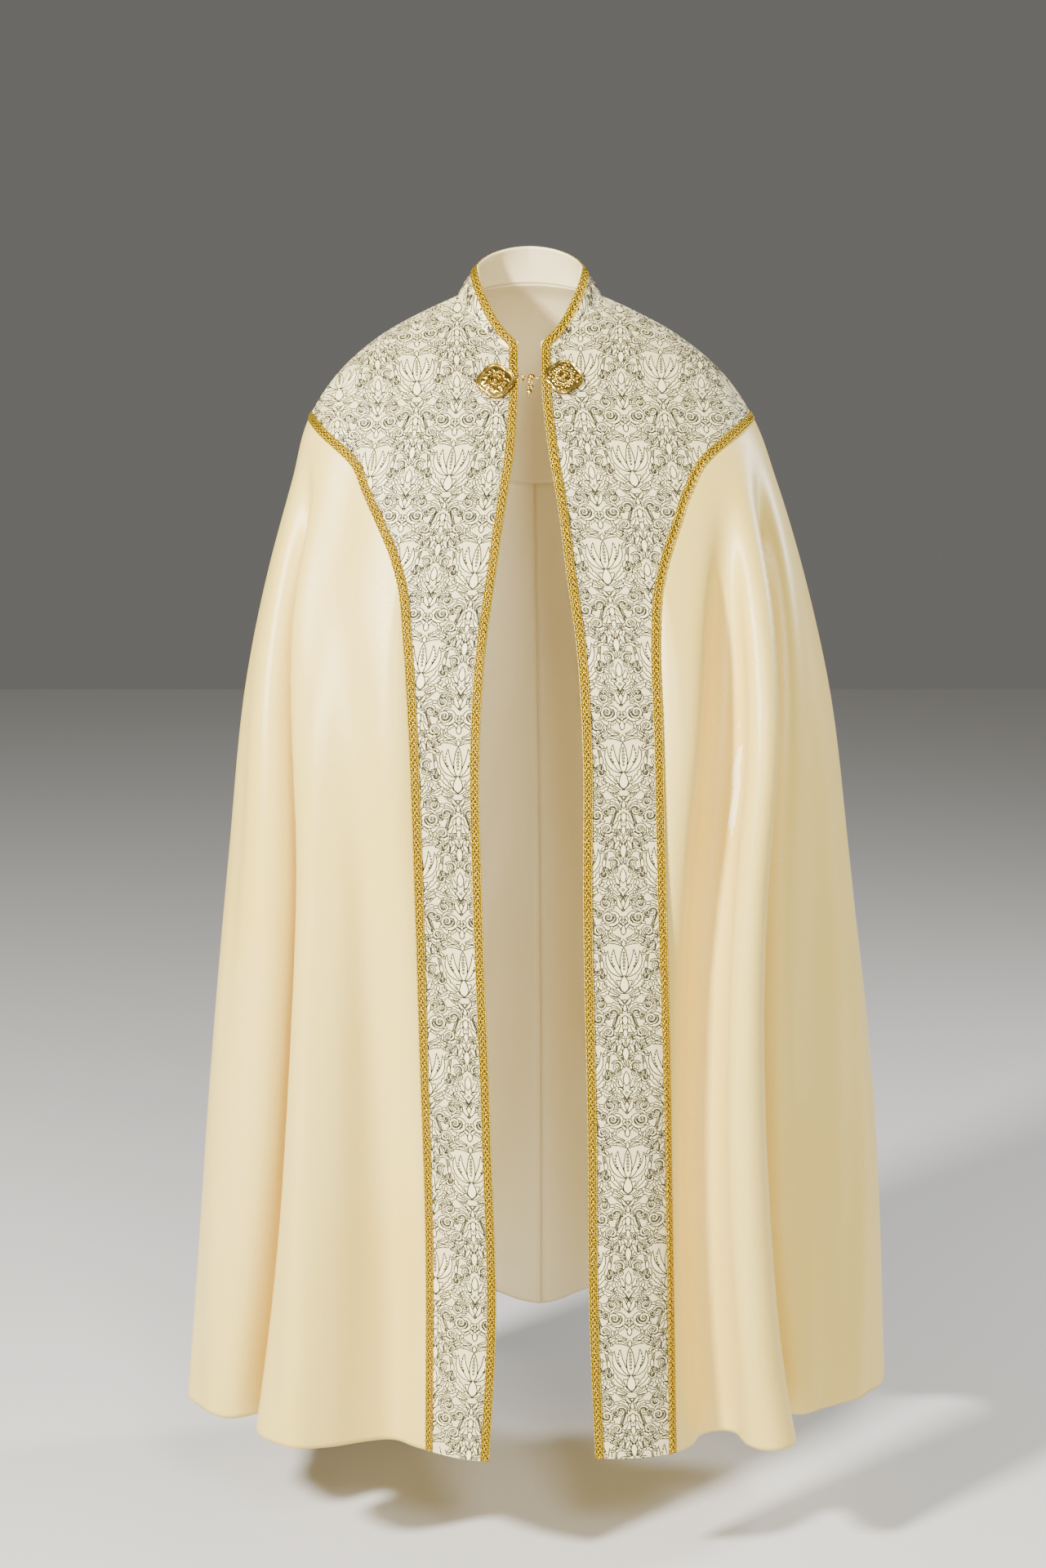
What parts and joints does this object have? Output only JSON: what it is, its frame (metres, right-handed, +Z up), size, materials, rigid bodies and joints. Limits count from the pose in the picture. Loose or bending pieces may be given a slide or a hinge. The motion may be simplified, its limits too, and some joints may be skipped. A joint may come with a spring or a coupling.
{
  "type": "cope vestment",
  "caption": "Floor-length cope in its worn, hollow form: brocade yoke and front bands, cream satin body, gold braid, stand collar and a fastened clasp.",
  "frame": {"origin": "middle of the neck opening, level with the side points of the neck, where the shoulders carry the cope", "axes": "+Z up along the wearer, -Y out of the front, +X to the wearer's left"},
  "size_m": [0.9084, 0.6178, 1.4493],
  "materials": {
    "cream_cloth": "satin sheen",
    "brocade": "woven damask with a silvery ground",
    "gold_braid": "metallic thread",
    "gold_metal": "polished"
  },
  "bodies": {
    "root": {"body_right": "cream_cloth", "body_left": "cream_cloth", "yoke_front_right": "brocade", "yoke_front_left": "brocade", "yoke_back": "brocade", "collar": "brocade", "braid_edge_right": "gold_braid", "braid_edge_left": "gold_braid", "braid_yoke_right": "gold_braid", "braid_yoke_left": "gold_braid", "clasp_plate_right": "gold_metal", "clasp_plate_left": "gold_metal", "clasp_ring": "gold_metal", "clasp_hook": "gold_metal", "clasp_pendant": "gold_metal"}
  },
  "joints": []
}
